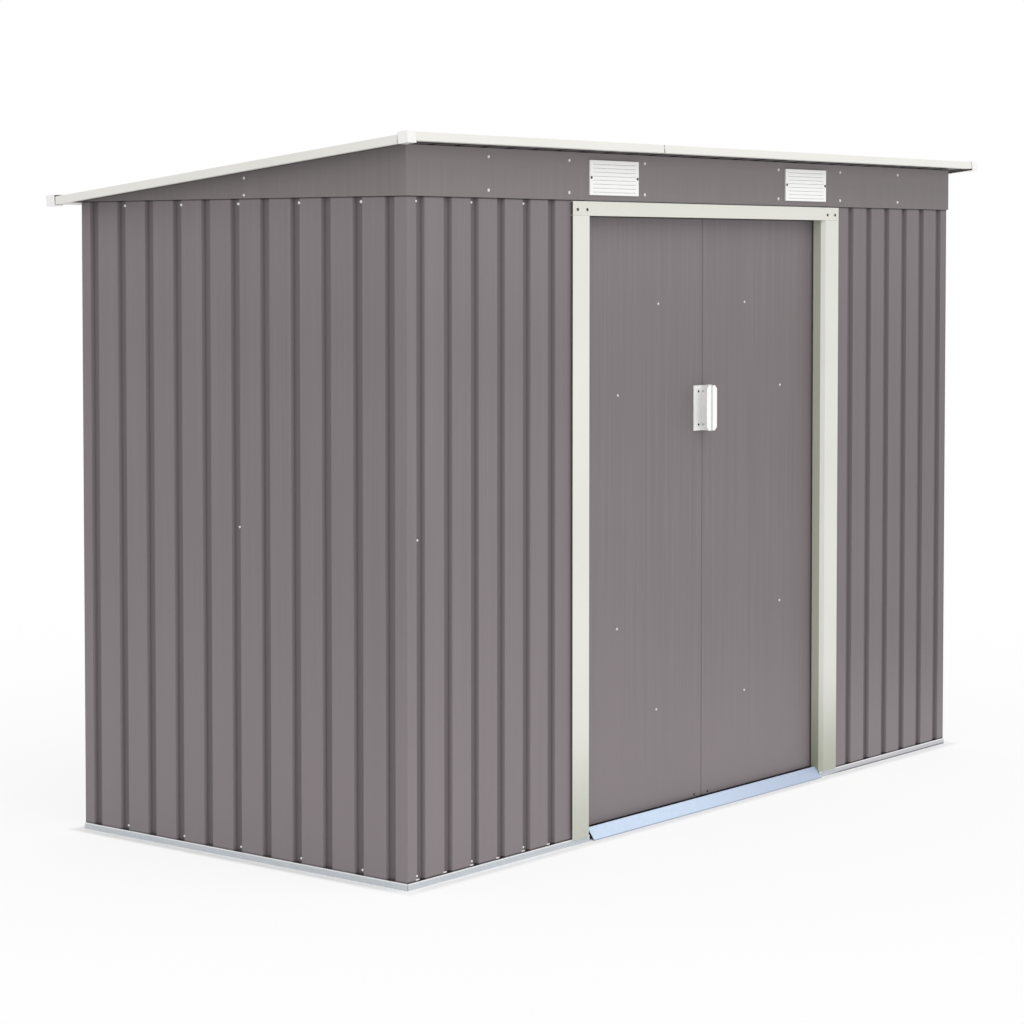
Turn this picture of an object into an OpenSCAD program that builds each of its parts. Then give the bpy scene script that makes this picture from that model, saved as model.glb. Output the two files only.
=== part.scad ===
// Pent-roofed metal storage shed with two sliding doors.
// Frame: millimetres, +Z up, the doors face -Y, origin on the ground at the middle of the roof outline.

/* [Walls] */
// outside length of the front and back walls
wall_l = 2620; // [1900:10:3400]
// outside depth of the side walls
wall_w = 1170; // [900:10:1800]
// thickness of the wall sheets
sheet_t = 1; // [0.8:0.1:1.5]
// depth of a groove in the wall sheets
groove_d = 10; // [6:0.5:14]
// width of the floor of a groove
groove_w = 22; // [14:1:30]
// run of one sloping side of a groove
groove_s = 5; // [3:0.5:8]
// spacing of the grooves along the front and back walls
front_pitch = 104.8; // [90:0.1:130]
// distance from a front corner to the middle of the first groove
front_first = 51.4; // [40:0.1:70]
// spacing of the grooves along the side walls
side_pitch = 106.5; // [90:0.1:130]
// distance from a front corner to the middle of the first side groove
side_first = 55.5; // [40:0.1:70]
// height to which the wall sheets run up behind the fascia
wall_lap = 24; // [12:1:40]

/* [Base rails] */
// height of the outer lip of the base rails
rail_h = 17; // [12:1:30]
// thickness of the base rails, also how far they stand proud of the walls
rail_t = 2.5; // [1.5:0.1:3]
// width of the base rail flange that lies on the ground
rail_w = 42.5; // [30:0.5:60]
// open joint between two mitred rail ends
rail_joint = 1.2; // [0.1:0.1:2]

/* [Fascia and gables] */
// height of the lower edge of the fascia above the ground
fascia_z = 1716; // [1500:1:2000]
// thickness of the hemmed fascia and gable panels
fascia_t = 4.5; // [3:0.5:8]
// height of the fascia over the front wall
fascia_h = 125.5; // [110:0.5:180]
// height left at the thin back tip of a gable
gable_tip = 2; // [1:0.5:6]

/* [Roof] */
// roof overhang beyond each side wall
roof_side = 75; // [50:1:120]
// roof overhang in front of the front wall
roof_front = 70; // [50:1:120]
// roof overhang behind the back wall
roof_back = 60; // [50:1:120]
// fall of the roof from front to back in degrees
roof_pitch = 6.15; // [3:0.01:9]
// clearance between the roof and the edges that carry it
roof_seat = 0.3; // [0.2:0.1:0.8]
// roof sheets side by side
roof_sheets = 3; // [2:1:4]
// wanted spacing of the roof ribs
roof_rib_pitch = 102; // [85:1:130]
// open joint between two roof sheets, and between sheets and trims
roof_joint = 0.4; // [0.2:0.1:1]

/* [Roof trims and caps] */
// thickness of the roof trims
trim_t = 1.5; // [1:0.1:2.5]
// height of the outer face of the roof trims
trim_h = 21.5; // [18:0.5:40]
// how far the side trims hang below the front and back trims
side_drop = 4; // [0:0.5:4]
// width of the two lips of a roof trim
trim_lip = 14; // [10:1:24]
// distance from the left roof end to the joint in the front and back trims
trim_split = 1062; // [600:1:1300]
// open joint between two trims
trim_joint = 3; // [0.4:0.1:4]
// length of each side of a corner cap
cap_l = 32; // [24:1:50]
// wall thickness of a corner cap
cap_t = 2; // [1.5:0.1:3]
// how far a corner cap reaches below the side trims
cap_under = 2; // [2:0.5:12]

/* [Door frame] */
// overall width of the door frame
frame_w = 1307; // [1100:1:1500]
// width of the front face of a jamb
jamb_w = 71.5; // [50:0.5:90]
// how far the front face of a jamb overhangs the foot that stands on the wall
jamb_hem = 10; // [4:1:20]
// bevel between the front face and the inner return of a jamb
jamb_bevel = 10.5; // [4:0.5:16]
// how far the door frame stands proud of the walls
frame_proud = 8; // [5:0.5:15]
// thickness of the folded jambs and header
frame_t = 1.5; // [1:0.1:2]
// height of the front face of the header
header_h = 38; // [25:1:60]
// gap between the top of the header and the fascia
header_gap = 3; // [1:0.5:8]
// gap between the base rail and the bottom of a jamb
jamb_foot = 0.3; // [0.2:0.1:1]
// joint between the jambs and the header
header_joint = 0.2; // [0.1:0.1:0.5]
// how far a wall sheet reaches in behind its jamb
jamb_cover = 60; // [40:1:65]

/* [Sill] */
// height of the top edge of the sill
sill_h = 32; // [22:1:45]
// distance from the wall face forward to the foot of the sill
sill_foot = 10; // [6:1:30]
// distance from the wall face back to the top edge of the sill
sill_back = 15; // [8:1:24]
// gap between the left end of the sill and the left jamb
sill_left = 14; // [1:0.5:20]
// gap between the right end of the sill and the right jamb
sill_right = 0.5; // [0.3:0.1:20]
// thickness of the folded sill plate
sill_t = 2; // [1.2:0.1:3]

/* [Doors] */
// distance from the wall face back to the face of the doors
door_set = 34; // [30:1:45]
// how far a shut door reaches in behind its jamb
door_cover = 31.5; // [15:0.5:45]
// thickness of a door with its folded edges
door_d = 18; // [12:1:25]
// sheet thickness of the doors
door_t = 1.2; // [0.8:0.1:2]
// gap between the two closed doors
door_gap = 6; // [5:0.5:10]
// how far the doors hang down behind the top edge of the sill
door_drop = 1; // [0:0.5:10]
// how far a door reaches up behind the header
door_lap = 14; // [8:1:20]
// clearance between a door and the door frame
door_clear = 5.5; // [5:0.5:10]

/* [Door track and hangers] */
// height of the channel of the door track
track_h = 40; // [34:1:60]
// depth of the channel of the door track
track_d = 54; // [50:1:70]
// sheet thickness of the door track
track_t = 1.5; // [1:0.1:2.5]
// width of the lip that the door wheels run over
track_lip = 16; // [12:1:24]
// gap between an end of the track and the side wall grooves
track_end = 4; // [2:1:20]
// width of a door hanger
hanger_w = 50; // [30:1:80]
// thickness of a door hanger
hanger_t = 3; // [2:0.5:5]
// distance from a door edge to the near side of a hanger
hanger_set = 70; // [40:1:120]
// diameter of a hanger wheel
wheel_d = 22; // [16:1:24]
// width of a hanger wheel
wheel_w = 8; // [5:0.5:9]
// running gap between a hanger wheel and the track lip
wheel_gap = 0.3; // [0.2:0.1:1]

/* [Handles] */
// height of a handle
handle_h = 128; // [90:1:180]
// height of the lower end of the handles above the ground
handle_z = 1075; // [700:1:1400]
// width of the plate of a handle
handle_plate = 40; // [25:1:50]
// width of the grip wing of a handle
handle_wing = 22; // [12:1:30]
// distance from the door face out to the front of the grip wing
handle_out = 35; // [25:1:45]
// wall thickness of the handles
handle_t = 3; // [2:0.5:5]
// size of the cut corners of the grip wing
handle_cut = 10; // [4:1:12]

/* [Vents] */
// width of a vent
vent_w = 218; // [150:1:300]
// height of a vent
vent_h = 93; // [60:1:100]
// distance from the fascia's lower edge up to a vent
vent_low = 14; // [8:1:30]
// distance from a jamb's outer edge in to the end of a vent
vent_in = 72.5; // [20:0.5:200]
// thickness of a vent
vent_t = 4.5; // [4:0.5:10]
// width of the plain border at the sides of a vent
vent_rim = 13; // [8:1:24]
// width of the plain border over and under the louvres
vent_edge = 4; // [3:0.5:10]
// louvres in a vent
vent_louvres = 8; // [5:1:10]
// depth of the slope along the foot of a louvre
louvre_d = 1.5; // [1:0.5:3.5]
// height of the slope along the foot of a louvre, with the air slit under it
louvre_gap = 3.6; // [1:0.1:4]
// clear height of the air slit under a louvre
louvre_slit = 0.5; // [0.2:0.1:0.9]

/* [Hidden] */
roof_l = wall_l + 2 * roof_side;
roof_w = wall_w + roof_front + roof_back;
wall_y0 = -roof_w / 2 + roof_front;
wall_y1 = wall_y0 + wall_w;
wall_x = wall_l / 2;
wall_z0 = rail_t;
wall_z1 = fascia_z + wall_lap;
groove_k = sheet_t * (sqrt(groove_s * groove_s + groove_d * groove_d) - groove_s) / groove_d;
wall_in = groove_d + sheet_t;
front_in = frame_w / 2 - jamb_cover;
side_grooves = floor((wall_w - side_first - 40) / side_pitch) + 1;
back_grooves = floor((wall_l - 80) / front_pitch) + 1;
roof_z = fascia_z + fascia_h;
roof_sin = sin(roof_pitch);
roof_cos = cos(roof_pitch);
roof_tan = tan(roof_pitch);
trim_low = -trim_t;
trim_top = trim_low + trim_h;
side_low = trim_low - side_drop;
cap_low = side_low - cap_under;
cap_top = trim_top + cap_t;
roof_a = (-roof_w / 2 - wall_y0 - cap_low * roof_sin) / roof_cos;
roof_b = (roof_w / 2 - wall_y0 - cap_top * roof_sin) / roof_cos;
trim_x = roof_l / 2 - cap_t;
trim_a = roof_a + cap_t;
trim_b = roof_b - cap_t;
split_x = -roof_l / 2 + trim_split;
sheet_x = trim_x - trim_t - roof_joint;
sheet_a = trim_a + trim_t + roof_joint;
sheet_b = trim_b - trim_t - roof_joint;
sheet_w = 2 * sheet_x / roof_sheets;
roof_ribs = round(sheet_w / roof_rib_pitch);
gable_y1 = wall_y0 + (fascia_h - gable_tip) / roof_tan;
jamb_x1 = frame_w / 2;
jamb_x0 = jamb_x1 - jamb_w;
return_x = jamb_x0 - jamb_bevel;
front_grooves = floor((wall_x - jamb_x1 - front_first - groove_w / 2) / front_pitch) + 1;
vent_x = jamb_x1 - vent_in - vent_w / 2;
frame_y0 = wall_y0 - frame_proud;
door_w = return_x + door_cover - door_gap / 2;
door_y0 = wall_y0 + door_set;
frame_y1 = door_y0 - door_clear;
header_z1 = fascia_z - header_gap;
header_z0 = header_z1 - header_h;
jamb_z0 = rail_h + jamb_foot;
door_z0 = sill_h - door_drop;
door_z1 = header_z0 + door_lap;
track_y0 = wall_y0 + wall_in;
track_z1 = wall_z1;
track_z0 = track_z1 - track_h;
track_x = wall_x - wall_in - track_end;
lip_z = track_z0 + track_t;
wheel_z = lip_z + wheel_gap + wheel_d / 2;
wheel_y1 = track_y0 + track_d - track_t - door_clear;
handle_y = door_y0 - handle_out;

// Section of a grooved sheet from x0 to x1, its face on y = 0 and its grooves sunk towards +y.
module grooved_section(x0, x1, mids) {
    front = [for (c = mids) each [
        [c - groove_w / 2 - groove_s, 0],
        [c - groove_w / 2, groove_d],
        [c + groove_w / 2, groove_d],
        [c + groove_w / 2 + groove_s, 0]
    ]];
    n = len(mids);
    rear = [for (i = [n - 1 : -1 : 0]) each [
        [mids[i] + groove_w / 2 + groove_s + groove_k, sheet_t],
        [mids[i] + groove_w / 2 + groove_k, groove_d + sheet_t],
        [mids[i] - groove_w / 2 - groove_k, groove_d + sheet_t],
        [mids[i] - groove_w / 2 - groove_s - groove_k, sheet_t]
    ]];
    polygon(concat([[x0, 0]], front, [[x1, 0], [x1, sheet_t]], rear, [[x0, sheet_t]]));
}

// Moves its children to the roof plane: y runs down the slope from the front wall face, z is square to it.
module on_roof() {
    translate([0, wall_y0, roof_z])
        rotate([-roof_pitch, 0, 0])
            children();
}

// Space above the underside of the roof, with the seating clearance below it.
module above_roof() {
    on_roof()
        translate([-roof_l, -roof_w, -roof_seat])
            cube([2 * roof_l, 3 * roof_w, fascia_h]);
}

// Base rail of length l along x with its outer face on y = 0 and mitred ends.
module rail(l) {
    h = l / 2 - rail_joint / 2;
    linear_extrude(rail_t)
        polygon([[-h, 0], [h, 0], [h - rail_w, rail_w], [-h + rail_w, rail_w]]);
    linear_extrude(rail_h)
        polygon([[-h, 0], [h, 0], [h - rail_t, rail_t], [-h + rail_t, rail_t]]);
}

module base_rail_front() {
    color("#b9bec2")
        difference() {
            translate([0, wall_y0 - rail_t, 0])
                rail(wall_l + 2 * rail_t);
            translate([-return_x, wall_y0 - 2 * rail_t, rail_t])
                cube([2 * return_x, 3 * rail_t, rail_h]);
        }
}

module base_rail_back() {
    color("#b9bec2")
        translate([0, wall_y1 + rail_t, 0])
            rotate([0, 0, 180])
                rail(wall_l + 2 * rail_t);
}

module base_rail_left() {
    color("#b9bec2")
        translate([-wall_x - rail_t, (wall_y0 + wall_y1) / 2, 0])
            rotate([0, 0, -90])
                rail(wall_w + 2 * rail_t);
}

module base_rail_right() {
    color("#b9bec2")
        translate([wall_x + rail_t, (wall_y0 + wall_y1) / 2, 0])
            rotate([0, 0, 90])
                rail(wall_w + 2 * rail_t);
}

// Folded plate: a ramp up from the ground and a leg that stands on the base rail.
module door_sill() {
    y0 = wall_y0 - sill_foot;
    y1 = wall_y0 + sill_back;
    run = sill_foot + sill_back;
    side = sill_t * sqrt(run * run + sill_h * sill_h) / sill_h;
    drop = side * sill_h / run;
    color("#a9bdd2")
        translate([-return_x + sill_left, 0, 0])
            rotate([90, 0, 90])
                linear_extrude(2 * return_x - sill_left - sill_right)
                    polygon([
                        [y0, 0], [y1, sill_h], [y1 + sill_t, sill_h], [y1 + sill_t, rail_t],
                        [y1, rail_t], [y1, sill_h - drop], [y0 + side, 0]
                    ]);
}

// Grooved sheet of one front wall, drawn for the left side of the doorway.
module front_sheet() {
    mids = [for (i = [0 : front_grooves - 1]) -wall_x + front_first + i * front_pitch];
    translate([0, wall_y0, wall_z0])
        linear_extrude(wall_z1 - wall_z0)
            grooved_section(-wall_x, -front_in, mids);
}

module wall_front_left() {
    color("#857e80")
        front_sheet();
}

module wall_front_right() {
    color("#857e80")
        mirror([1, 0, 0])
            front_sheet();
}

// Grooved sheet of one side wall, drawn for the left side, its top cut to the fall of the roof.
module side_sheet() {
    first = wall_w / 2 - side_first;
    mids = [for (i = [side_grooves - 1 : -1 : 0]) first - i * side_pitch];
    half = wall_w / 2 - sheet_t;
    difference() {
        translate([-wall_x, (wall_y0 + wall_y1) / 2, wall_z0])
            rotate([0, 0, -90])
                linear_extrude(wall_z1 - wall_z0)
                    grooved_section(-half, half, mids);
        above_roof();
    }
}

module wall_side_left() {
    color("#857e80")
        side_sheet();
}

module wall_side_right() {
    color("#857e80")
        mirror([1, 0, 0])
            side_sheet();
}

module wall_back() {
    first = -(back_grooves - 1) / 2 * front_pitch;
    mids = [for (i = [0 : back_grooves - 1]) first + i * front_pitch];
    color("#857e80")
        difference() {
            translate([0, wall_y1, wall_z0])
                rotate([0, 0, 180])
                    linear_extrude(wall_z1 - wall_z0)
                        grooved_section(-wall_x, wall_x, mids);
            above_roof();
        }
}

// Opening in the fascia behind a vent, drawn for the left vent.
module vent_opening() {
    translate([-vent_x - vent_w / 2 + vent_rim, wall_y0 - 2 * fascia_t, fascia_z + vent_low + vent_edge])
        cube([vent_w - 2 * vent_rim, 3 * fascia_t, vent_h - 2 * vent_edge]);
}

module fascia_front() {
    color("#7f787a")
        difference() {
            translate([-wall_x - fascia_t, wall_y0 - fascia_t, fascia_z])
                cube([wall_l + 2 * fascia_t, fascia_t, fascia_h - roof_seat]);
            vent_opening();
            mirror([1, 0, 0])
                vent_opening();
        }
}

// Gable panel drawn for the left side.
module gable() {
    translate([-wall_x - fascia_t, 0, 0])
        rotate([90, 0, 90])
            linear_extrude(fascia_t)
                polygon([
                    [wall_y0, fascia_z], [gable_y1, fascia_z],
                    [gable_y1, fascia_z + gable_tip - roof_seat], [wall_y0, roof_z - roof_seat]
                ]);
}

module gable_left() {
    color("#7f787a")
        gable();
}

module gable_right() {
    color("#7f787a")
        mirror([1, 0, 0])
            gable();
}

// Ribbed roof sheet number i, counted from the left, with flats on the roof plane and ribs standing up.
module roof_sheet(i) {
    x0 = -sheet_x + i * sheet_w + roof_joint / 2;
    x1 = x0 + sheet_w - roof_joint;
    step = sheet_w / roof_ribs;
    mids = [for (j = [0 : roof_ribs - 1]) -sheet_x + i * sheet_w + (j + 0.5) * step];
    on_roof()
        translate([0, sheet_b, 0])
            rotate([90, 0, 0])
                linear_extrude(sheet_b - sheet_a)
                    grooved_section(x0, x1, mids);
}

module roof_sheet_left() {
    color("#8a8486")
        roof_sheet(0);
}

module roof_sheet_middle() {
    color("#8a8486")
        for (i = [1 : roof_sheets - 2])
            roof_sheet(i);
}

module roof_sheet_right() {
    color("#8a8486")
        roof_sheet(roof_sheets - 1);
}

// Trim section with its foot at y = low, its outer face on x = 0 and its two lips towards +x.
module trim_section(low) {
    top = low + trim_h;
    polygon([
        [0, low], [trim_lip, low], [trim_lip, low + trim_t], [trim_t, low + trim_t],
        [trim_t, top - trim_t], [trim_lip, top - trim_t], [trim_lip, top], [0, top]
    ]);
}

// Trim along the front edge of the roof from x0 to x1.
module trim_front(x0, x1) {
    on_roof()
        translate([x0, trim_a, 0])
            rotate([90, 0, 90])
                linear_extrude(x1 - x0)
                    trim_section(trim_low);
}

// Trim along the back edge of the roof from x0 to x1.
module trim_back(x0, x1) {
    on_roof()
        translate([x1, trim_b, 0])
            rotate([90, 0, -90])
                linear_extrude(x1 - x0)
                    trim_section(trim_low);
}

// Trim along one sloping edge of the roof, drawn for the left side.
module trim_side() {
    y0 = trim_a + trim_lip + trim_joint;
    y1 = trim_b - trim_lip - trim_joint;
    on_roof()
        translate([-trim_x, y1, 0])
            rotate([90, 0, 0])
                linear_extrude(y1 - y0)
                    trim_section(side_low);
}

module trim_front_left() {
    color("#e4e5de")
        trim_front(-trim_x, split_x - trim_joint / 2);
}

module trim_front_right() {
    color("#e4e5de")
        trim_front(split_x + trim_joint / 2, trim_x);
}

module trim_back_left() {
    color("#e4e5de")
        trim_back(-trim_x, split_x - trim_joint / 2);
}

module trim_back_right() {
    color("#e4e5de")
        trim_back(split_x + trim_joint / 2, trim_x);
}

module trim_left() {
    color("#e4e5de")
        trim_side();
}

module trim_right() {
    color("#e4e5de")
        mirror([1, 0, 0])
            trim_side();
}

// Hollow corner cap, drawn for the left front corner of the roof and open towards the roof.
module cap_front() {
    on_roof()
        difference() {
            translate([-roof_l / 2, roof_a, cap_low])
                cube([cap_l, cap_l, cap_top - cap_low]);
            translate([-trim_x, trim_a, side_low])
                cube([cap_l, cap_l, trim_top - side_low]);
        }
}

// Hollow corner cap, drawn for the left back corner of the roof and open towards the roof.
module cap_back() {
    on_roof()
        difference() {
            translate([-roof_l / 2, roof_b - cap_l, cap_low])
                cube([cap_l, cap_l, cap_top - cap_low]);
            translate([-trim_x, trim_b - cap_l, side_low])
                cube([cap_l, cap_l, trim_top - side_low]);
        }
}

module cap_front_left() {
    color("#eceae4")
        cap_front();
}

module cap_front_right() {
    color("#eceae4")
        mirror([1, 0, 0])
            cap_front();
}

module cap_back_left() {
    color("#eceae4")
        cap_back();
}

module cap_back_right() {
    color("#eceae4")
        mirror([1, 0, 0])
            cap_back();
}

// Folded jamb, drawn for the left side of the doorway.
module jamb() {
    k = frame_t * tan(22.5);
    hem_x = jamb_x1 - jamb_hem;
    y1 = frame_y0 + frame_t;
    y2 = frame_y0 + jamb_bevel;
    translate([0, 0, jamb_z0])
        linear_extrude(header_z0 - header_joint - jamb_z0)
            polygon([
                [-jamb_x1, frame_y0], [-jamb_x0, frame_y0], [-return_x, y2], [-return_x, frame_y1],
                [-return_x - frame_t, frame_y1], [-return_x - frame_t, y2 + k], [-jamb_x0 - k, y1],
                [-hem_x + frame_t, y1], [-hem_x + frame_t, wall_y0], [-hem_x, wall_y0], [-hem_x, y1],
                [-jamb_x1, y1]
            ]);
}

module jamb_left() {
    color("#dfe0d6")
        jamb();
}

module jamb_right() {
    color("#dfe0d6")
        mirror([1, 0, 0])
            jamb();
}

// Folded header: a front face with two short returns, and a deep return over the doors between the jambs.
module header() {
    lintel_x = return_x + frame_t;
    color("#dfe0d6") {
        translate([-jamb_x1, 0, 0])
            rotate([90, 0, 90])
                linear_extrude(frame_w)
                    polygon([
                        [frame_y0, header_z0], [wall_y0, header_z0], [wall_y0, header_z0 + frame_t],
                        [frame_y0 + frame_t, header_z0 + frame_t], [frame_y0 + frame_t, header_z1 - frame_t],
                        [wall_y0, header_z1 - frame_t], [wall_y0, header_z1], [frame_y0, header_z1]
                    ]);
        translate([-lintel_x, frame_y0 + frame_t / 2, header_z0])
            cube([2 * lintel_x, frame_y1 - frame_y0 - frame_t / 2, frame_t]);
    }
}

// Channel over the doors, open below, with a lip under the door wheels.
module door_track() {
    y1 = track_y0 + track_d;
    color("#c3c7ca")
        translate([-track_x, 0, 0])
            rotate([90, 0, 90])
                linear_extrude(2 * track_x)
                    polygon([
                        [track_y0, track_z0], [track_y0, track_z1], [y1, track_z1], [y1, track_z0],
                        [y1 - track_lip, track_z0], [y1 - track_lip, lip_z], [y1 - track_t, lip_z],
                        [y1 - track_t, track_z1 - track_t], [track_y0 + track_t, track_z1 - track_t],
                        [track_y0 + track_t, track_z0]
                    ]);
}

// Louvred vent, drawn for the left side of the fascia: louvres with sloping feet and an air slit under each.
module vent() {
    step = (vent_h - 2 * vent_edge) / vent_louvres;
    low = (step - louvre_gap) / 2;
    y0 = wall_y0 - fascia_t - vent_t;
    z0 = fascia_z + vent_low + vent_edge;
    difference() {
        translate([-vent_x - vent_w / 2, y0, fascia_z + vent_low])
            cube([vent_w, vent_t, vent_h]);
        translate([-vent_x - vent_w / 2 + vent_rim, 0, 0])
            rotate([90, 0, 90])
                linear_extrude(vent_w - 2 * vent_rim)
                    for (i = [0 : vent_louvres - 1])
                        translate([y0, z0 + i * step])
                            polygon([
                                [-1, low], [vent_t + 1, low], [vent_t + 1, low + louvre_slit],
                                [louvre_d, low + louvre_slit], [0, low + louvre_gap], [-1, low + louvre_gap]
                            ]);
    }
}

module vent_left() {
    color("#f4f4f2")
        vent();
}

module vent_right() {
    color("#f4f4f2")
        mirror([1, 0, 0])
            vent();
}

// Sheet metal door with its edges folded back, drawn for the left leaf.
module door() {
    x0 = -door_gap / 2 - door_w;
    difference() {
        translate([x0, door_y0, door_z0])
            cube([door_w, door_d, door_z1 - door_z0]);
        translate([x0 + door_t, door_y0 + door_t, door_z0 + door_t])
            cube([door_w - 2 * door_t, door_d, door_z1 - door_z0 - 2 * door_t]);
    }
}

module door_left() {
    color("#857e80")
        door();
}

module door_right() {
    color("#857e80")
        mirror([1, 0, 0])
            door();
}

// Hanger that stands on the top edge of a door: foot, upright and wheel, with its left side on x.
module hanger(x) {
    upright = wheel_z + wheel_d / 2 - door_z1;
    mid = x + hanger_w / 2;
    translate([x, door_y0 + hanger_t, door_z1])
        cube([hanger_w, door_d - 2 * hanger_t, hanger_t]);
    translate([x, door_y0 + hanger_t, door_z1])
        cube([hanger_w, hanger_t, upright]);
    translate([mid, wheel_y1, wheel_z])
        rotate([90, 0, 0])
            cylinder(h = wheel_w, d = wheel_d, $fn = 48);
    translate([mid, wheel_y1 - wheel_w / 2, wheel_z])
        rotate([90, 0, 0])
            cylinder(h = wheel_y1 - wheel_w / 2 - door_y0 - 1.5 * hanger_t, d = wheel_d / 3, $fn = 48);
}

// The two hangers of one door, drawn for the left leaf.
module hangers() {
    hanger(-door_gap / 2 - door_w + hanger_set);
    hanger(-door_gap / 2 - hanger_set - hanger_w);
}

module hangers_left() {
    color("#d5d6d4")
        hangers();
}

module hangers_right() {
    color("#d5d6d4")
        mirror([1, 0, 0])
            hangers();
}

// Door handle, drawn for the left leaf: a plate on the door, a web and a grip wing with cut corners.
module handle() {
    x1 = -door_gap / 2;
    translate([x1 - handle_plate, door_y0 - handle_t, handle_z])
        cube([handle_plate, handle_t, handle_h]);
    translate([x1 - handle_t, handle_y, handle_z])
        cube([handle_t, handle_out, handle_h]);
    translate([x1 - handle_wing, handle_y + handle_t, handle_z])
        rotate([90, 0, 0])
            linear_extrude(handle_t)
                polygon([
                    [0, handle_cut], [handle_cut, 0], [handle_wing, 0], [handle_wing, handle_h],
                    [handle_cut, handle_h], [0, handle_h - handle_cut]
                ]);
}

module handle_left() {
    color("#f4f4f2")
        handle();
}

module handle_right() {
    color("#f4f4f2")
        mirror([1, 0, 0])
            handle();
}

base_rail_front();
base_rail_back();
base_rail_left();
base_rail_right();
door_sill();
wall_front_left();
wall_front_right();
wall_side_left();
wall_side_right();
wall_back();
fascia_front();
gable_left();
gable_right();
roof_sheet_left();
roof_sheet_middle();
roof_sheet_right();
trim_front_left();
trim_front_right();
trim_back_left();
trim_back_right();
trim_left();
trim_right();
cap_front_left();
cap_front_right();
cap_back_left();
cap_back_right();
jamb_left();
jamb_right();
header();
door_track();
vent_left();
vent_right();
door_left();
door_right();
hangers_left();
hangers_right();
handle_left();
handle_right();
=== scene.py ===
import bmesh
import bpy
import math
from mathutils import Matrix, Vector


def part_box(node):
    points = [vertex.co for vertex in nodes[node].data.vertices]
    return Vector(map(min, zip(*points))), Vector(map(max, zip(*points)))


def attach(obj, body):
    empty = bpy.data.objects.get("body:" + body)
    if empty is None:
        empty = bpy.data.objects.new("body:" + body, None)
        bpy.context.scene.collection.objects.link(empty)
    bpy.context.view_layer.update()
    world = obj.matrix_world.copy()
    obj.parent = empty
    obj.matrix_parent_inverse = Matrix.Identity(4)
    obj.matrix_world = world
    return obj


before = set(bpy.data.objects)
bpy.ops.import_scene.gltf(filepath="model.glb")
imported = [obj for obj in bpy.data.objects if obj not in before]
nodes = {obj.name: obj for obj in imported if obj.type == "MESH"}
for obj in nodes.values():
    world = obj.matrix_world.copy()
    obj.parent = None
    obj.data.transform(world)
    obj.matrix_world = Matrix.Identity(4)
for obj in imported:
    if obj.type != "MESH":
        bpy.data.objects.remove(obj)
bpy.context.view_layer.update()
scene = bpy.context.scene
scene.view_settings.view_transform = "Standard"
print("frame loaded:", len(nodes), "nodes")


class Wire:  # a socket that can be used in sums
    def __init__(self, paint, socket):
        self.paint = paint
        self.socket = socket

    def sum(self, kind, *values):
        return self.paint.node("ShaderNodeMath", dict(operation=kind), dict(enumerate(values)))

    def __add__(self, other):
        return self.sum("ADD", self, other)

    def __radd__(self, other):
        return self.sum("ADD", other, self)

    def __sub__(self, other):
        return self.sum("SUBTRACT", self, other)

    def __rsub__(self, other):
        return self.sum("SUBTRACT", other, self)

    def __mul__(self, other):
        return self.sum("MULTIPLY", self, other)

    def __rmul__(self, other):
        return self.sum("MULTIPLY", other, self)

    def __abs__(self):
        return self.sum("ABSOLUTE", self)


class Paint:  # one material, or the world, and its nodes
    def __init__(self, holder):
        holder.use_nodes = True
        self.holder = holder
        self.tree = holder.node_tree
        self.tree.nodes.clear()

    def node(self, kind, settings=None, sockets=None, out=0):
        made = self.tree.nodes.new(kind)
        for name, value in (settings or {}).items():
            setattr(made, name, value)
        for name, value in (sockets or {}).items():
            socket = made.inputs[name]
            if isinstance(value, Wire):
                self.tree.links.new(value.socket, socket)
            elif socket.type == "RGBA":
                socket.default_value = (*value, 1)
            else:
                socket.default_value = value
        return Wire(self, made.outputs[out]) if len(made.outputs) else None

    def mix(self, factor, a, b, blend="MIX"):  # colours, from a at 0 to b at 1
        settings = dict(data_type="RGBA", blend_type=blend, clamp_factor=True)
        return self.node("ShaderNodeMix", settings, {0: factor, 6: a, 7: b}, 2)

    def ramp(self, value, low, high):  # 0 at low, 1 at high
        sockets = {"Value": value, "From Min": low, "From Max": high}
        return self.node("ShaderNodeMapRange", dict(interpolation_type="SMOOTHSTEP"), sockets)

    def rampAt(self, value, level, span):  # the same, with both ends measured from a level
        return self.ramp(value, level + span[0], level + span[1])

    def place(self, stretch=(1, 1, 1)):  # object coordinates, in metres, stretched
        where = self.node("ShaderNodeTexCoord", out="Object")
        return self.node("ShaderNodeMapping", None, {"Vector": where, "Scale": stretch})

    def noise(self, scale, detail, stretch=(1, 1, 1)):
        sockets = {"Vector": self.place(stretch), "Scale": scale, "Detail": detail}
        return self.node("ShaderNodeTexNoise", None, sockets)

    def axis(self, letter):  # one object coordinate
        where = self.node("ShaderNodeTexCoord", out="Object")
        return self.node("ShaderNodeSeparateXYZ", None, {0: where}, letter)

    def normalPart(self, letter):
        facing = self.node("ShaderNodeNewGeometry", out="Normal")
        return self.node("ShaderNodeSeparateXYZ", None, {0: facing}, letter)

    def bump(self, height, strength, distance):
        sockets = {"Height": height, "Strength": strength, "Distance": distance}
        return self.node("ShaderNodeBump", None, sockets)

    def directRays(self):  # 1 where it is seen by the camera, in gloss or through glass
        kinds = ("Is Camera Ray", "Is Glossy Ray", "Is Transmission Ray")
        camera, gloss, glass = (self.node("ShaderNodeLightPath", out=kind) for kind in kinds)
        return camera + gloss + glass

    def surface(self, **sockets):
        named = {key.replace("_", " "): value for key, value in sockets.items()}
        self.output(self.node("ShaderNodeBsdfPrincipled", None, named))
        return self.holder

    def output(self, shader):
        kind = "World" if isinstance(self.holder, bpy.types.World) else "Material"
        self.node("ShaderNodeOutput" + kind, None, {"Surface": shader})


black = (0, 0, 0)
white = (1, 1, 1)


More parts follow.
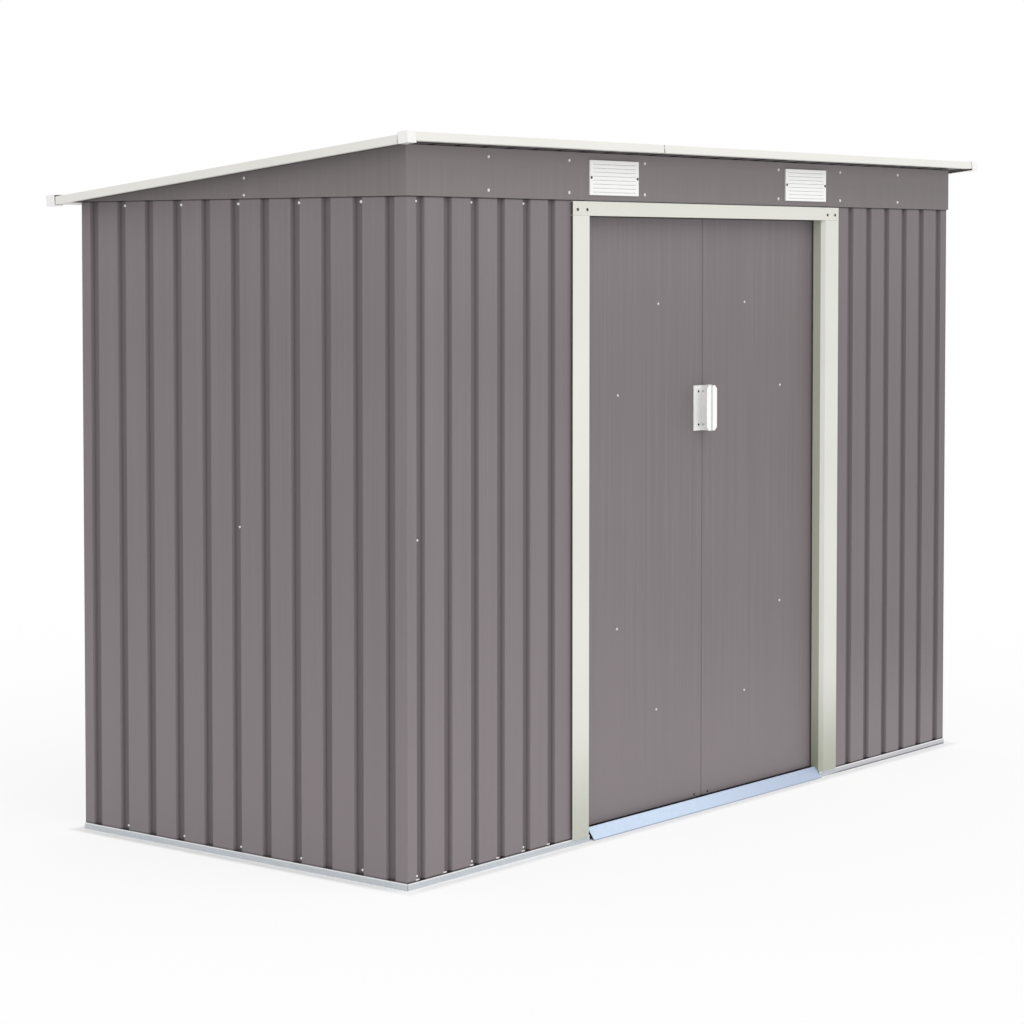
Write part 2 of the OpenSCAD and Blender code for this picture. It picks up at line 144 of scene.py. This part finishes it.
def toLinear(r, g, b):  # 0-255 as seen on screen
    parts = (r / 255, g / 255, b / 255)
    return tuple(v / 12.92 if v <= 0.04045 else ((v + 0.055) / 1.055) ** 2.4 for v in parts)


def shade(colour, k):
    return tuple(v * k for v in colour)


cameraSet = dict(place=(-6.3127, -4.9487, 1.5661), yaw=-51.094, pitch=-2.47, lens=95.289, sensor=36,
                 shift=-0.135, reach=100)


def addCamera():
    data = bpy.data.cameras.new("camera")
    data.lens = cameraSet["lens"]
    data.sensor_width = cameraSet["sensor"]
    data.shift_y = cameraSet["shift"]
    data.clip_end = cameraSet["reach"]
    camera = bpy.data.objects.new("camera", data)
    camera.location = cameraSet["place"]
    camera.rotation_euler = (math.radians(90 + cameraSet["pitch"]), 0, math.radians(cameraSet["yaw"]))
    scene.collection.objects.link(camera)
    scene.camera = camera


lightSet = dict(sky=0.84, sun=0.8, sunAngle=55, sunFrom=(-0.02, -0.72, 0.95))


def buildWorld():  # an even sky that looks white
    world = bpy.data.worlds.new("studio")
    scene.world = world
    p = Paint(world)
    dim = p.node("ShaderNodeBackground", None, {"Color": white, "Strength": lightSet["sky"]})
    plain = p.node("ShaderNodeBackground", None, {"Color": white, "Strength": 1.0})
    p.output(p.node("ShaderNodeMixShader", None, {0: p.directRays(), 1: dim, 2: plain}))


def addSun():  # one very soft lamp from overhead
    data = bpy.data.lights.new("soft_lamp", "SUN")
    data.energy = lightSet["sun"]
    data.angle = math.radians(lightSet["sunAngle"])
    lamp = bpy.data.objects.new("soft_lamp", data)
    lamp.rotation_euler = (-Vector(lightSet["sunFrom"])).to_track_quat("-Z", "Y").to_euler()
    scene.collection.objects.link(lamp)


floorSet = dict(radius=200, sides=96, tone=(0.96, 0.96, 0.96), glow=0.8, footprint=(1.36, 0.63), fade=0.03)


def buildFloor():  # nearly white, with the shed's shadow left on it
    bpy.ops.mesh.primitive_circle_add(radius=floorSet["radius"], vertices=floorSet["sides"],
                                      fill_type="NGON", location=(0, 0, 0))
    floor = bpy.context.object
    floor.name = "floor"
    p = Paint(bpy.data.materials.new("pale_floor"))
    out = [p.ramp(abs(p.axis(letter)), half - floorSet["fade"], half)
           for letter, half in zip("XY", floorSet["footprint"])]
    outside = p.node("ShaderNodeMath", dict(operation="MAXIMUM"), {0: out[0], 1: out[1]})
    direct = p.directRays() * floorSet["glow"] * outside  # no glow under the roof
    matt = p.node("ShaderNodeBsdfDiffuse", None, {"Color": floorSet["tone"]})
    glow = p.node("ShaderNodeEmission", None, {"Color": white, "Strength": 1.0})
    p.output(p.node("ShaderNodeMixShader", None, {0: direct, 1: matt, 2: glow}))
    floor.data.materials.append(p.holder)


addCamera()
buildWorld()
buildFloor()
addSun()
print("camera, light and floor ready")

sides = ((-1, "left"), (1, "right"))
front = (0, -1, 0)
back = (0, 1, 0)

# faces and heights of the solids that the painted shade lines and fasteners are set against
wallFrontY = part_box("wall_front_left")[0].y
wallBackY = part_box("wall_back")[1].y
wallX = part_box("wall_side_right")[1].x
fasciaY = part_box("fascia_front")[0].y
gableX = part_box("gable_right")[1].x
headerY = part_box("header")[0].y
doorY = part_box("door_left")[0].y
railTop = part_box("base_rail_front")[1].z
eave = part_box("fascia_front")[0].z
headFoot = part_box("header")[0].z

# matt paint of the steel sheets
# a noise is its scale, detail and stretch, a share is a base and what is added to it
sheetSet = dict(
    blotch=(1.7, 3.0, (1, 1, 0.6)), blotchRange=(0.3, 0.7), blotchTones=(0.97, 1.03),
    streak=(44.0, 3.0, (1, 1, 0.02)), streakRange=(0.35, 0.75), streakTone=1.08, streakShare=(0.55, 0.35),
    fine=(130.0, 2.0, (1, 1, 0.012)), paleRange=(0.5, 0.72), paleTone=1.12, paleShare=(0.35, 0.4),
    darkRange=(0.5, 0.28), darkTone=0.92, darkShare=(0.3, 0.3),
    fadeFrom=0.9, fadeLean=0.07, topFade=0.008, topRange=(1.2, 1.7), topLightRange=(1.769, 1.839),
    waistFade=0.06, waistLean=0.25, waistRange=(0.75, 1.15), waistEnd=(1.3, 1.65),
    bounceTone=1.22, bounceReach=0.72, bounceLean=-0.25, bounceShare=(0.6, 0.5),
    grooveTone=0.72, grooveRange=(0.0015, 0.0095), grooveShare=(0.8, 0.4),
    edgeTone=0.17, railLine=(0.003, 0.0052), eaveLine=(-0.0044, -0.0014), eaveShare=0.95,
    headLine=(-0.0035, -0.0020), underRange=(0.1, 0.6), roofUnder=0.3,
    rough=0.5, roughSpread=0.12, grain=(900.0, 1.0), grainRise=0.15, blotchRise=2.0,
    rolled=(95.0, 1.0, (1, 1, 0.006)), bump=(0.12, 0.002))


def share(pair, amount):  # a base and the part that varies
    return pair[0] + amount * pair[1]


def coilColour(p, tone, lines, blotch):  # blotches, streaks and the rolling lines of the coil
    s = sheetSet
    marked = min(lines, 1)
    low, high = s["blotchTones"]
    colour = p.mix(p.ramp(blotch, *s["blotchRange"]), shade(tone, low), shade(tone, high))
    streak = p.ramp(p.noise(*s["streak"]), *s["streakRange"]) * share(s["streakShare"], marked)
    colour = p.mix(streak, colour, shade(tone, s["streakTone"]))
    fine = p.noise(*s["fine"])
    pale = p.ramp(fine, *s["paleRange"]) * share(s["paleShare"], marked)
    colour = p.mix(pale, colour, shade(tone, s["paleTone"]))
    dark = p.ramp(fine, *s["darkRange"]) * share(s["darkShare"], marked)
    return p.mix(dark, colour, shade(tone, s["darkTone"]))


def wallLightAndTone(p, colour, tone, blotch, topLight):  # slow changes over the whole wall
    s = sheetSet
    along = p.axis("X")
    height = p.axis("Z")
    colour = p.mix((along + s["fadeFrom"]) * s["fadeLean"], colour, black)  # darker towards the right end
    colour = p.mix(p.ramp(height, *s["topRange"]), colour, p.mix(s["topFade"], colour, white))
    waist = p.ramp(height + along * s["waistLean"], *s["waistRange"]) * (1 - p.ramp(height, *s["waistEnd"]))
    colour = p.mix(waist * s["waistFade"], colour, black)  # a little darker at half height
    if topLight:  # painted light: paler paint close under the roof
        colour = p.mix(p.ramp(height, *s["topLightRange"]), colour, shade(tone, topLight))
    # painted light: paler towards the foot, for light thrown up from the floor, patchy with the blotches
    bounceLight = 1 - p.ramp(height, 0.0, s["bounceReach"] + along * s["bounceLean"])
    return p.mix(bounceLight * share(s["bounceShare"], blotch), colour, shade(tone, s["bounceTone"]))


def makeSheetPaint(name, tone, lines=0.0, face=None, footLine=0.0, headLine=0.0, topLight=0.0, under=1.0):
    s = sheetSet
    p = Paint(bpy.data.materials.new(name))
    blotch = p.noise(*s["blotch"])
    height = p.axis("Z")
    colour = wallLightAndTone(p, coilColour(p, tone, lines, blotch), tone, blotch, topLight)
    if face:  # painted shade in the grooves, along the rail and under the fascia
        letter, outer = face
        paintedShade = p.ramp(outer - abs(p.axis(letter)), *s["grooveRange"]) * share(s["grooveShare"], blotch)
        colour = p.mix(paintedShade, colour, shade(tone, s["grooveTone"]))
        line = (1 - p.rampAt(height, railTop, s["railLine"])) * footLine
        line = line + p.rampAt(height, eave, s["eaveLine"]) * s["eaveShare"]
        colour = p.mix(line, colour, shade(tone, s["edgeTone"]))
    if headLine:  # painted shade on the doors where they pass behind the header
        line = p.rampAt(height, headFoot, s["headLine"]) * headLine
        colour = p.mix(line, colour, shade(tone, s["edgeTone"]))
    if under < 1:  # painted shade: darker on faces turned downwards
        colour = p.mix(p.ramp(-1 * p.normalPart("Z"), *s["underRange"]), colour, shade(tone, under))
    relief = p.noise(*s["grain"]) * s["grainRise"] + blotch * s["blotchRise"]
    if lines:
        relief = relief + p.noise(*s["rolled"]) * lines
    return p.surface(Base_Color=colour, Roughness=s["rough"] + blotch * s["roughSpread"],
                     Normal=p.bump(relief, *s["bump"]))


# gloss paint of the trims and the door frame, and moulded plastic
creamSet = dict(
    blotch=(3.0, 2.0), blotchRange=(0.3, 0.7), tones=(0.975, 1.01), grain=(1200.0, 1.0), bump=(0.05, 0.0005),
    foldRange=(0.75, 0.98), footDarkTone=(0.62, 0.63, 0.57), footDarkReach=0.34, footDarkShare=(0.75, 0.5),
    endTone=0.3, endShare=0.85, endRange=(0.0012, 0.0022), underRange=(0.3, 0.9),
    roughSpread=0.1, coatRough=0.06)


def makeCream(name, tone, rough=0.45, footDarkening=0.0, fold=None, coat=0.0, under=1.0, ends=None):
    s = creamSet
    p = Paint(bpy.data.materials.new(name))
    blotch = p.noise(*s["blotch"])
    low, high = s["tones"]
    colour = p.mix(p.ramp(blotch, *s["blotchRange"]), shade(tone, low), shade(tone, high))
    if fold:  # another tone on faces turned along the shed: painted shade on the returns of the jambs, dark cut ends at the joints of the long trims
        colour = p.mix(p.ramp(abs(p.normalPart("X")), *s["foldRange"]), colour, fold)
    if footDarkening:  # darker towards the foot
        footMask = (1 - p.ramp(p.axis("Z"), 0.0, s["footDarkReach"])) * share(s["footDarkShare"], blotch)
        colour = p.mix(footMask * footDarkening, colour, s["footDarkTone"], "MULTIPLY")
    if ends:  # painted shadow where a piece runs under a cap
        letter, low, high = ends
        near, far = s["endRange"]
        paintedShade = p.rampAt(p.axis(letter), high, (-far, -near))
        if low is not None:
            paintedShade = paintedShade + 1 - p.rampAt(p.axis(letter), low, (near, far))
        colour = p.mix(paintedShade * s["endShare"], colour, shade(tone, s["endTone"]))
    if under < 1:  # painted shade: darker on faces turned downwards
        colour = p.mix(p.ramp(-1 * p.normalPart("Z"), *s["underRange"]), colour, shade(tone, under))
    return p.surface(Base_Color=colour, Roughness=rough + blotch * s["roughSpread"], Coat_Weight=coat,
                     Coat_Roughness=s["coatRough"], Normal=p.bump(p.noise(*s["grain"]), *s["bump"]))


# zinc of the rails, sill, track and fasteners
zincSet = dict(
    flake=140.0, blotch=(8.0, 2.0), mixture=0.5, tones=(0.94, 1.05), bump=(0.08, 0.001), roughSpread=0.12,
    edgeTone=(0.92, 0.93, 0.94), edgeRange=(-0.0035, -0.0012), footRange=(-0.0009, 0.0009), footFade=0.1,
    belowRange=(0.2, 0.5), innerRange=(0.9, 0.98))


def makeZinc(name, tone, rough=0.4, metal=0.35, edge=None, far=None, foot=None, inside=1.0):
    s = zincSet
    p = Paint(bpy.data.materials.new(name))
    flake = p.node("ShaderNodeTexVoronoi", None, {"Vector": p.place(), "Scale": s["flake"]}, "Color")
    flakeGrey = p.node("ShaderNodeSeparateColor", None, {0: flake})
    blotch = p.noise(*s["blotch"])
    low, high = s["tones"]
    spangle = flakeGrey * s["mixture"] + blotch * (1 - s["mixture"])
    colour = p.mix(spangle, shade(tone, low), shade(tone, high))
    if far:  # duller towards the right end
        farTone, start, end = far
        colour = p.mix(p.ramp(p.axis("X"), start, end), colour, farTone)
    if edge:  # painted highlight: a bright line along the top edge
        colour = p.mix(p.rampAt(p.axis("Z"), edge, s["edgeRange"]), colour, s["edgeTone"])
    if foot:  # painted shade: a grey line where it meets the ground, from a place along the front
        dark, height, start = foot
        line = 1 - p.rampAt(p.axis("Z"), height, s["footRange"])
        line = line * p.ramp(p.axis("X"), start, start + s["footFade"])
        colour = p.mix(line, colour, shade(tone, dark))
    if inside < 1:  # painted shade inside the fold, on faces turned downwards or to the front
        below = p.ramp(-1 * p.normalPart("Z"), *s["belowRange"])
        inner = p.ramp(-1 * p.normalPart("Y"), *s["innerRange"])
        colour = p.mix(below + inner, colour, shade(tone, inside))
    return p.surface(Base_Color=colour, Roughness=rough + flakeGrey * s["roughSpread"], Metallic=metal,
                     Normal=p.bump(blotch, *s["bump"]))


greyTone = toLinear(121, 113, 116)
frontPaint = makeSheetPaint("front_paint", greyTone, face=("Y", -wallFrontY), footLine=0.9)
sidePaint = makeSheetPaint("side_paint", greyTone, face=("X", wallX), footLine=0.5)
backPaint = makeSheetPaint("back_paint", greyTone, face=("Y", wallBackY), footLine=0.7)
fasciaPaint = makeSheetPaint("fascia_paint", toLinear(122, 115, 115.5), topLight=1.22)
gablePaint = makeSheetPaint("gable_paint", toLinear(120, 113, 113))
doorPaint = makeSheetPaint("door_paint", toLinear(121, 113, 115.5), lines=1.2, headLine=0.9)
roofPaint = makeSheetPaint("roof_paint", toLinear(123, 115, 118), under=sheetSet["roofUnder"])

creamTone = toLinear(229, 228, 222)
sideEnds = ("Y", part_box("cap_front_left")[1].y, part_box("cap_back_left")[0].y)
longEnds = ("X", None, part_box("cap_front_right")[0].x)
trimPaint = makeCream("trim_paint", creamTone, ends=sideEnds)
longTrimPaint = makeCream("long_trim_paint", toLinear(231, 230, 224), fold=toLinear(48, 46, 42),
                          ends=longEnds)
flangePaint = makeCream("flange_paint", creamTone)
framePaint = makeCream("frame_paint", toLinear(227, 227, 220), footDarkening=0.8, fold=toLinear(196, 199, 180))
rightFramePaint = makeCream("right_frame_paint", toLinear(221, 222, 214), footDarkening=1.0,
                            fold=toLinear(195, 198, 180))
headerPaint = makeCream("header_paint", toLinear(223, 222, 213), under=0.12)
capPlastic = makeCream("cap_plastic", toLinear(241, 240, 238), rough=0.35, coat=0.6)
whitePlastic = makeCream("white_plastic", toLinear(249, 249, 248), rough=0.2, coat=1.0)

zincTone = toLinear(201, 206, 211)
railZinc = makeZinc("rail_zinc", zincTone, edge=railTop)
frontRailZinc = makeZinc("front_rail_zinc", zincTone, edge=railTop,
                         far=(toLinear(200, 198, 202), 0.60, 0.75), foot=(0.36, 0.0040, 0.60))
sillZinc = makeZinc("sill_zinc", toLinear(205, 222, 244), rough=0.35, metal=0.2,
                    far=(toLinear(180, 193, 216), -0.3, 0.6), foot=(0.5, 0.0023, -1.0), inside=0.08)
trackZinc = makeZinc("track_zinc", toLinear(195, 199, 205))
hangerSteel = makeZinc("hanger_steel", toLinear(150, 152, 155), metal=0.6)
rivetMetal = makeZinc("rivet_metal", toLinear(226, 226, 224), rough=0.35, metal=0.25)
darkScrew = makeZinc("dark_screw", toLinear(70, 70, 68), rough=0.45, metal=0.4)

finishOf = {  # by the start of a node's name, the longest that fits
    "wall_front": frontPaint, "wall_side": sidePaint, "wall_back": backPaint,
    "fascia": fasciaPaint, "gable": gablePaint, "roof": roofPaint,
    "trim": trimPaint, "trim_front": longTrimPaint, "trim_back": longTrimPaint, "cap": capPlastic,
    "jamb": framePaint, "jamb_right": rightFramePaint, "header": headerPaint,
    "base": railZinc, "base_rail_front": frontRailZinc, "door_sill": sillZinc, "door_track": trackZinc,
    "door": doorPaint, "hangers": hangerSteel, "handle": whitePlastic, "vent": whitePlastic,
}
edgeSet = dict(weld=0.00002, width=0.0005, frameWidth=0.0002, segments=2, angle=30,
               frame=("jamb", "header"), moulded=("cap", "vent", "handle", "trim"))


def softenEdges(node, width):
    soft = node.modifiers.new("soft_edges", "BEVEL")
    soft.width = width
    soft.segments = edgeSet["segments"]
    soft.limit_method = "ANGLE"
    soft.angle_limit = math.radians(edgeSet["angle"])


for name, node in nodes.items():
    best = max((start for start in finishOf if name.startswith(start)), key=len)
    node.data.materials.clear()
    node.data.materials.append(finishOf[best])
    weld = node.modifiers.new("weld", "WELD")
    weld.merge_threshold = edgeSet["weld"]
    if name.startswith(edgeSet["frame"]):
        softenEdges(node, edgeSet["frameWidth"])
    elif name.startswith(edgeSet["moulded"]):
        softenEdges(node, edgeSet["width"])
print("finishes set")


def newPiece(name, mesh, finish, body):
    data = bpy.data.meshes.new(name)
    mesh.normal_update()
    mesh.to_mesh(data)
    mesh.free()
    data.materials.append(finish)
    piece = bpy.data.objects.new(name, data)
    scene.collection.objects.link(piece)
    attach(piece, body)


def frameAt(place, facing, turn=0.0):  # a matrix whose z axis is the facing
    z = Vector(facing).normalized()
    x = Vector((0, 0, 1)).cross(z) if abs(z.z) < 0.9 else Vector((1, 0, 0))
    x.normalize()
    y = z.cross(x)
    axes = Matrix((x, y, z)).transposed().to_4x4()
    return Matrix.Translation(place) @ axes @ Matrix.Rotation(turn, 4, "Z")


def lathe(mesh, profile, matrix, steps=18):  # profile of (radius, height) from the foot up to a tip
    angles = [2 * math.pi * k / steps for k in range(steps)]
    rings = [[mesh.verts.new(matrix @ Vector((radius * math.cos(a), radius * math.sin(a), height)))
              for a in angles] for radius, height in profile[:-1]]
    tip = mesh.verts.new(matrix @ Vector((0, 0, profile[-1][1])))
    for k in range(steps):
        n = (k + 1) % steps
        for low, high in zip(rings, rings[1:]):
            mesh.faces.new([low[k], low[n], high[n], high[k]]).smooth = True
        mesh.faces.new([rings[-1][k], rings[-1][n], tip]).smooth = True
    mesh.faces.new(list(reversed(rings[0])))


def addBar(mesh, outlines):  # a bar between two like outlines
    rings = [[mesh.verts.new(corner) for corner in outline] for outline in outlines]
    count = len(rings[0])
    for k in range(count):
        n = (k + 1) % count
        mesh.faces.new([rings[0][k], rings[0][n], rings[1][n], rings[1][k]])
    mesh.faces.new(rings[0])
    mesh.faces.new(list(reversed(rings[1])))


def roundEdges(mesh, size):
    bmesh.ops.recalc_face_normals(mesh, faces=mesh.faces)
    bmesh.ops.bevel(mesh, geom=mesh.edges[:], offset=size, segments=2, affect="EDGES")


# rivet head: shares of the radius with heights for the rim, with shares of the rise for the dome
rivetSet = dict(radius=0.0032, rise=0.0024, sink=0.0002, rim=((1, 0.0004), (0.97, 0.0007)),
                dome=((0.8, 0.72), (0.52, 0.94), (0.2, 1), (0, 1)))


def addRivet(mesh, place, facing, size=1.0):
    r = rivetSet["radius"] * size
    profile = [(r, -rivetSet["sink"])]
    profile += [(r * part, height) for part, height in rivetSet["rim"]]
    profile += [(r * part, rivetSet["rise"] * lift) for part, lift in rivetSet["dome"]]
    lathe(mesh, profile, frameAt(place, facing))


def rivets(name, spots, body="shed", finish=rivetMetal):  # a spot is place, facing and perhaps size
    mesh = bmesh.new()
    for spot in spots:
        addRivet(mesh, *spot)
    newPiece(name, mesh, finish, body)


# round screw head with a cross slot: a disc with four domed quarters on it
screwSet = dict(radius=0.0042, rise=0.0022, slot=0.0011, sink=0.0002, discSide=0.3, discTop=0.38,
                discEdge=0.92, foot=0.36, dome=0.55, spread=0.96, rings=(0.0, 0.35, 0.65, 0.85, 0.97),
                steps=4, firstTurn=0.4, nextTurn=1.3)


def turned(corners, flip):
    return list(reversed(corners)) if flip else corners


def addScrewQuarter(mesh, matrix, r, h, gap):
    s = screwSet
    top = []
    foot = []
    for ring in s["rings"]:
        reach = ring * (r - gap / 2) * s["spread"]
        angles = [math.pi / 2 * k / s["steps"] for k in range(s["steps"] + 1)] if ring else [0.0]
        spots = [(gap / 2 + reach * math.cos(a), gap / 2 + reach * math.sin(a)) for a in angles]
        lift = h * (1 - s["dome"] * ring ** 3)
        top.append([mesh.verts.new(matrix @ Vector((x, y, lift))) for x, y in spots])
        foot.append([mesh.verts.new(matrix @ Vector((x, y, h * s["foot"]))) for x, y in spots])
    for k in range(s["steps"]):
        for rows in (top, foot):
            faces = [[rows[0][0], rows[1][k], rows[1][k + 1]]]
            faces += [[low[k], high[k], high[k + 1], low[k + 1]] for low, high in zip(rows[1:], rows[2:])]
            for face in faces:
                mesh.faces.new(turned(face, rows is foot)).smooth = rows is top
        mesh.faces.new([top[-1][k], foot[-1][k], foot[-1][k + 1], top[-1][k + 1]])
    for lowTop, highTop, lowFoot, highFoot in zip(top, top[1:], foot, foot[1:]):  # the two slot walls
        mesh.faces.new([lowFoot[0], highFoot[0], highTop[0], lowTop[0]])
        mesh.faces.new([lowTop[-1], highTop[-1], highFoot[-1], lowFoot[-1]])


def addScrew(mesh, place, facing, turn, size):
    s = screwSet
    r, h, gap, sink = (s[key] * size for key in ("radius", "rise", "slot", "sink"))
    disc = [(r, -sink), (r, h * s["discSide"]), (r * s["discEdge"], h * s["discTop"]), (0, h * s["discTop"])]
    lathe(mesh, disc, frameAt(place, facing, turn))
    for quarter in range(4):
        addScrewQuarter(mesh, frameAt(place, facing, turn + quarter * math.pi / 2), r, h, gap)


def screws(name, spots, body="shed", size=1.0):
    mesh = bmesh.new()
    for number, place in enumerate(spots):
        addScrew(mesh, place, front, screwSet["firstTurn"] + number * screwSet["nextTurn"], size)
    newPiece(name, mesh, darkScrew, body)


# walls: a rivet beside every second groove, at the foot and under the fascia, and a few at half height
wallRivets = dict(frontX=(-1.2755, -1.0630, -0.8535), sideY=(0.419, 0.2045, -0.0055, -0.220, -0.4305),
                  low=0.0315, mid=0.867, high=1.703, highSize=1.3, midShift=0.003,
                  backCount=6, backPitch=0.2096, backShift=0.0262, backHigh=1.60)


def addWallRivets():
    s = wallRivets
    spots = [((x, wallFrontY, z), front) for x in s["frontX"] for z in (s["low"], s["high"])]
    spots.append(((s["frontX"][0] + s["midShift"], wallFrontY, s["mid"]), front))
    rivets("rivets_wall_front_left", spots)
    for side, name in sides:
        facing = (side, 0, 0)
        rows = ((s["low"], 1.0), (s["high"], s["highSize"]))
        spots = [((side * wallX, y, z), facing, size) for y in s["sideY"] for z, size in rows]
        spots.append(((side * wallX, s["sideY"][2], s["mid"]), facing))
        rivets("rivets_wall_side_" + name, spots)
    across = [k * s["backPitch"] + s["backShift"] for k in range(-s["backCount"], s["backCount"] + 1)]
    rows = (s["low"], s["mid"], s["backHigh"])
    rivets("rivets_wall_back", [((x, wallBackY, z), back) for x in across for z in rows])


addWallRivets()

# small tabs that hold the foot of the left front sheet to the rail, one at each groove
tabSet = dict(first=-1.2735, pitch=0.1048, count=6, width=0.013, low=0.0208, high=0.0240, out=0.0016,
              inner=0.0004, slant=0.0008, soft=0.0003)


def addTabs():
    s = tabSet
    y0 = wallFrontY - s["out"]
    y1 = wallFrontY + s["inner"]
    section = [(y0, s["low"]), (y0, s["high"] - s["slant"]), (y0 + s["slant"], s["high"]), (y1, s["high"]),
               (y1, s["low"])]
    mesh = bmesh.new()
    for k in range(s["count"]):
        x = s["first"] + k * s["pitch"]
        addBar(mesh, [[(end, y, z) for y, z in section] for end in (x - s["width"] / 2, x + s["width"] / 2)])
    roundEdges(mesh, s["soft"])
    newPiece("rail_tabs_left", mesh, rivetMetal, "shed")


addTabs()

# roof plane, from the top of the fascia back along the slope
roofSet = dict(slope=6.15, edge=-0.580, top=1.8415, flat=0.001)
roofAngle = math.radians(roofSet["slope"])


def roofSpot(x, along, lift):  # a point over the roof plane
    y = roofSet["edge"] + along * math.cos(roofAngle) + lift * math.sin(roofAngle)
    z = roofSet["top"] - along * math.sin(roofAngle) + lift * math.cos(roofAngle)
    return (x, y, z)


# screws with round washers, in the flats between the ribs, and closer together along the seams
roofScrewSet = dict(half=1.3811, sheets=3, ribs=9, rows=(0.055, 0.60, 1.145), seamRows=(0.2, 0.4, 0.8, 1.0),
                    seamOff=0.018, steps=16, washer=0.0075, head=0.0045,
                    washerShape=((1, -0.0002), (1, 0.0008), (0.9, 0.0014)),
                    headShape=((1.15, 0.0020), (1, 0.0021), (1, 0.0042), (0.85, 0.0047), (0, 0.0049)))


def addRoofScrews():
    s = roofScrewSet
    up = (0, math.sin(roofAngle), math.cos(roofAngle))
    profile = [(s["washer"] * part, height) for part, height in s["washerShape"]]
    profile += [(s["head"] * part, height) for part, height in s["headShape"]]
    count = s["sheets"] * s["ribs"]
    spots = []
    for k in range(1, count):
        x = -s["half"] + k * 2 * s["half"] / count
        if k % s["ribs"] == 0:  # a seam, with a row on each side
            rows = s["rows"] + s["seamRows"]
            spots += [(x + shift, along) for along in rows for shift in (-s["seamOff"], s["seamOff"])]
        elif k % 2 == 0:
            spots += [(x, along) for along in s["rows"]]
    mesh = bmesh.new()
    for x, along in spots:
        lathe(mesh, profile, frameAt(roofSpot(x, along, roofSet["flat"]), up), s["steps"])
    newPiece("roof_screws", mesh, rivetMetal, "shed")


# folded flange under the back edge of the roof
flangeSet = dict(half=1.366, inner=1.187, outer=1.2203, top=-0.0003, thick=0.0012, soft=0.0004)


def addBackFlange():
    s = flangeSet
    low = s["top"] - s["thick"]
    corners = [(s["inner"], s["top"]), (s["outer"], s["top"]), (s["outer"], low), (s["inner"], low)]
    mesh = bmesh.new()
    addBar(mesh, [[roofSpot(x, along, lift) for along, lift in corners] for x in (-s["half"], s["half"])])
    roundEdges(mesh, s["soft"])
    newPiece("back_flange", mesh, flangePaint, "shed")


addRoofScrews()
addBackFlange()

fasciaRivets = dict(x=(0.330, 0.666, 1.000), z=(1.735, 1.820), size=1.45)
rivets("rivets_fascia", [((side * x, fasciaY, z), front, fasciaRivets["size"])
                         for side, name in sides for x in fasciaRivets["x"] for z in fasciaRivets["z"]])
gableRivets = dict(y=-0.030, z=(1.725, 1.769), size=1.3)
rivets("rivets_gables", [((side * gableX, gableRivets["y"], z), (side, 0, 0), gableRivets["size"])
                         for side, name in sides for z in gableRivets["z"]])

# door skins: four rivets each as x and z, and a bolt at the foot
doorSet = dict(rivets=((0.213, 1.436), (0.400, 1.189), (0.402, 0.5505), (0.218, 0.306)), rivetSize=1.15,
               bolt=(0.033, 0.0385), boltSize=0.8)
for side, name in sides:
    spots = [((side * x, doorY, z), front, doorSet["rivetSize"]) for x, z in doorSet["rivets"]]
    rivets("rivets_door_" + name, spots, name + "_door")
    boltX, boltZ = doorSet["bolt"]
    screws("foot_bolt_" + name, [(side * boltX, doorY, boltZ)], name + "_door", size=doorSet["boltSize"])
print("rivets placed")

# edge strip on each door where the two meet, in the door paint
meetSet = dict(width=0.0027, inset=0.0006, back=0.0105, radius=0.0005, steps=5, ends=0.002)


def addMeetingEdge(side, name):
    s = meetSet
    low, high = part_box("door_" + name)
    edge = high.x if side < 0 else low.x
    w = s["width"]
    r = s["radius"]
    y0 = low.y + s["inset"]
    y1 = low.y + s["back"]
    angles = [math.pi / 2 * k / s["steps"] for k in range(s["steps"], -1, -1)]
    section = [(0, y0), (0, y1), (w, y1)]
    section += [(w - r + r * math.sin(a), y0 + r - r * math.cos(a)) for a in angles]
    mesh = bmesh.new()
    heights = (low.z + s["ends"], high.z - s["ends"])
    addBar(mesh, [[(edge - side * x, y, z) for x, y in section] for z in heights])
    bmesh.ops.recalc_face_normals(mesh, faces=mesh.faces)
    newPiece("meeting_edge_" + name, mesh, doorPaint, name + "_door")


for side, name in sides:
    addMeetingEdge(side, name)

headerScrews = dict(x=(0.592, 0.6335), z=1.691)
screws("header_screws", [(side * x, headerY, headerScrews["z"])
                         for side, name in sides for x in headerScrews["x"]])

# dark screws at the ends of the vents
ventSet = dict(screwIn=0.0060, screwSize=0.9)


def addVentScrews(name):
    low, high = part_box("vent_" + name)
    z = (low.z + high.z) / 2
    spots = [(x, low.y, z) for x in (low.x + ventSet["screwIn"], high.x - ventSet["screwIn"])]
    screws("vent_screws_" + name, spots, size=ventSet["screwSize"])


# handles: two screws in the plate, and two grey pins on the web where the plate's screws show as
# reflections: painted reflections
handleSet = dict(plateIn=0.022, plateOut=0.003, fromEnd=0.017, screwSize=0.8, web=0.003, pinOut=0.0085)


def addHandleScrews(side, name):
    s = handleSet
    low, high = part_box("handle_" + name)
    outer, inner = (low.x, high.x) if side < 0 else (high.x, low.x)
    heights = (low.z + s["fromEnd"], high.z - s["fromEnd"])
    plate = [(outer - side * s["plateIn"], doorY - s["plateOut"], z) for z in heights]
    screws("handle_screws_" + name, plate, name + "_door", s["screwSize"])
    # painted reflections: grey pins on the web, mirroring the screws in the plate
    pins = [((inner + side * s["web"], doorY - s["pinOut"], z), (side, 0, 0)) for z in heights]
    rivets("handle_reflection_pins_" + name, pins, name + "_door", trackZinc)


for side, name in sides:
    addVentScrews(name)
    addHandleScrews(side, name)
print("screws placed")
